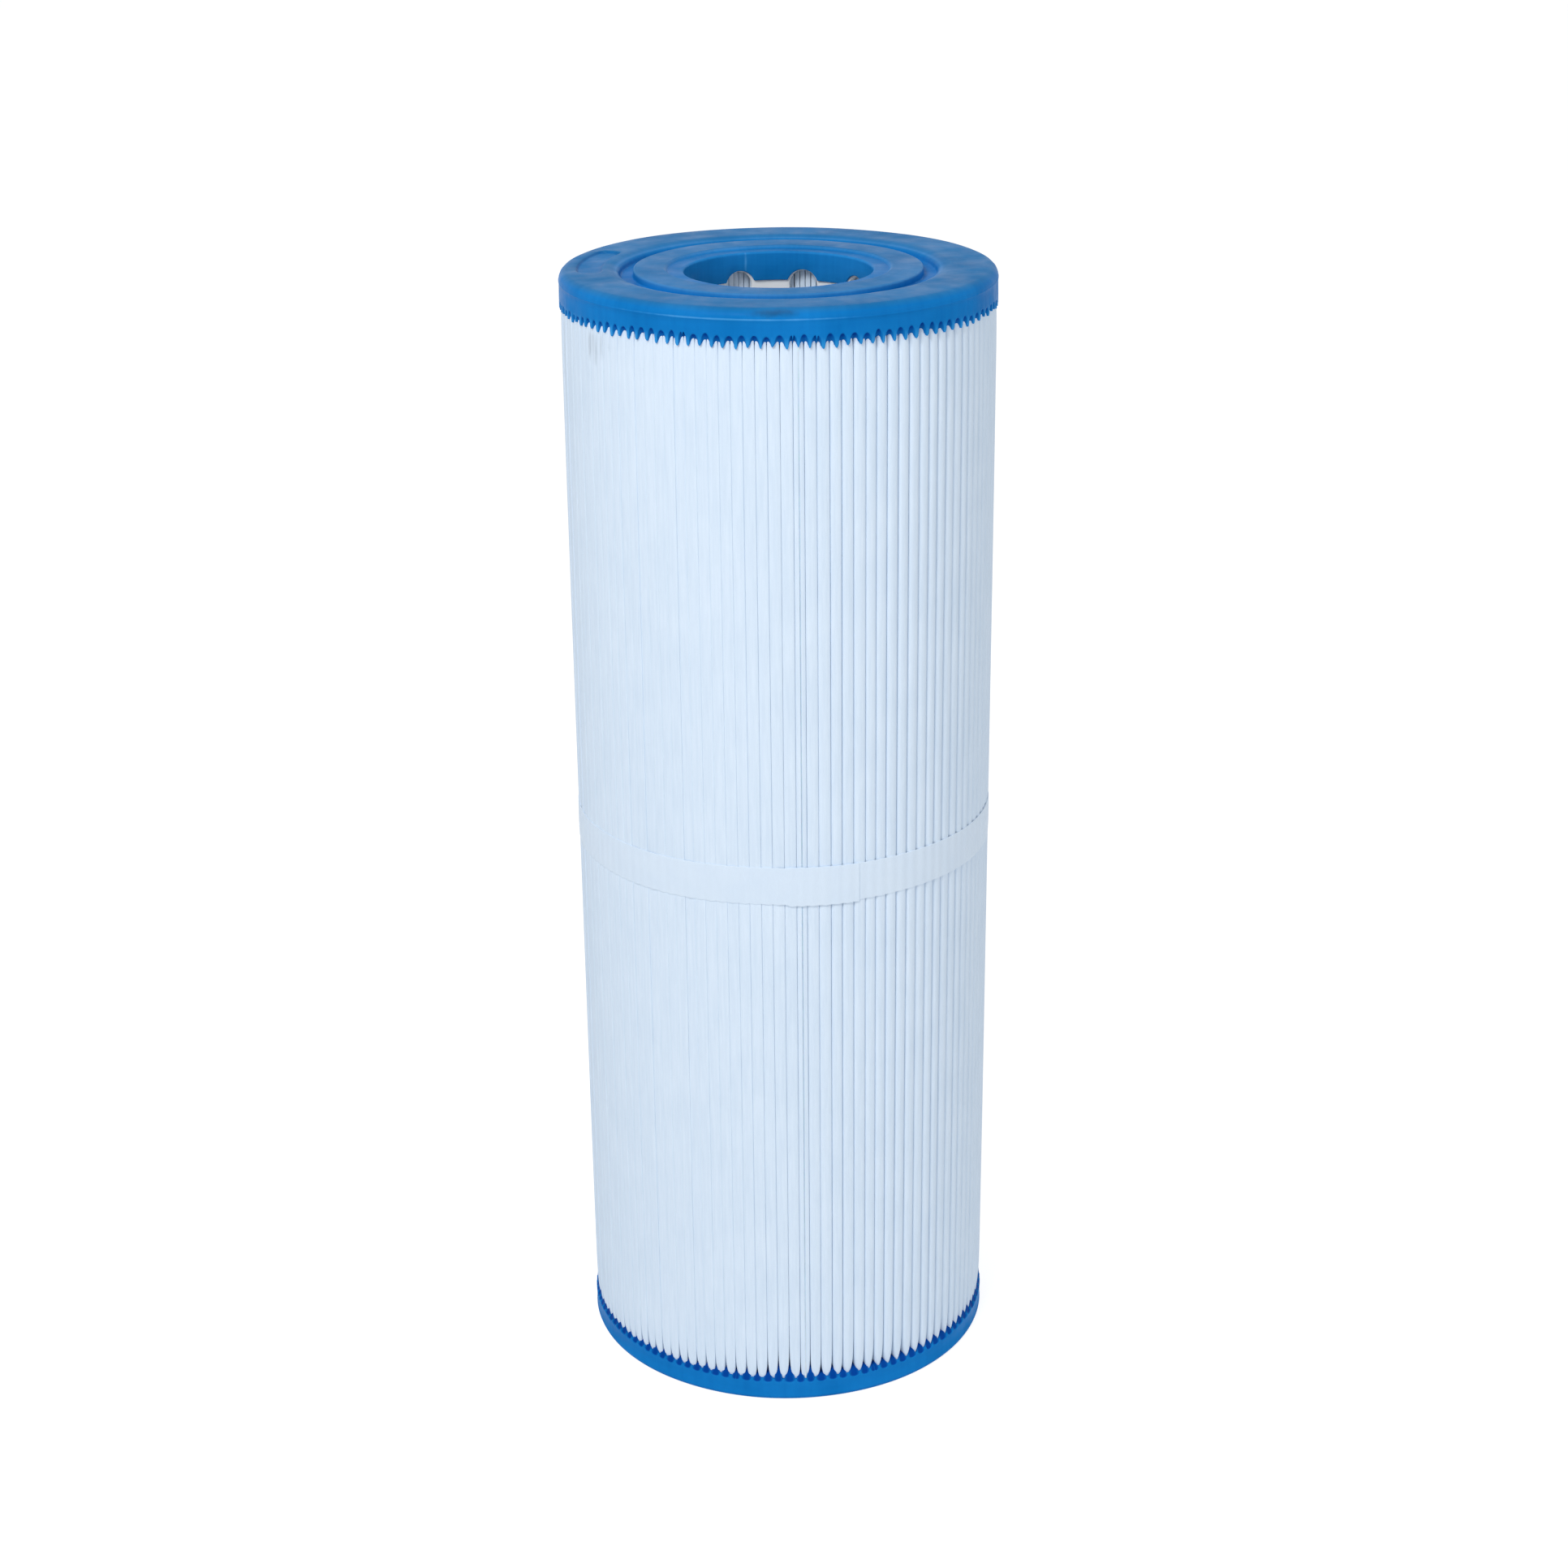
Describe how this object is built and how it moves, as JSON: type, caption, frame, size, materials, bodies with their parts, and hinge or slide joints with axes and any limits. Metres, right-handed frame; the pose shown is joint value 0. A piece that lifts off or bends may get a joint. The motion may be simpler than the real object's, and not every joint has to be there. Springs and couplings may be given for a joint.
{
  "type": "pleated filter cartridge",
  "caption": "Cylindrical pleated filter cartridge for a pool or spa filter, open bore at both ends, soft cast end caps, perforated core tube and a strap round its middle.",
  "frame": {"origin": "on the cartridge's axis, at the outer face of the lower end cap", "axes": "+Z along the axis to the upper end cap; -Y is the side with the strap's lap and the media's seam"},
  "size_m": [0.1254, 0.1254, 0.3381],
  "materials": {
    "end_cap": "satin cast polyurethane, medium blue",
    "core": "smooth white moulded plastic",
    "media": "spunbonded polyester, matt bluish white",
    "strap": "calendered polyester strip, matt white",
    "hot_melt": "set hot-melt adhesive, milky white"
  },
  "bodies": {
    "root": {"top_end_cap": "end_cap", "bottom_end_cap": "end_cap", "core_tube": "core", "pleated_media": "media", "media_seam": "hot_melt", "centre_strap": "strap", "strap_bead": "hot_melt"}
  },
  "joints": []
}
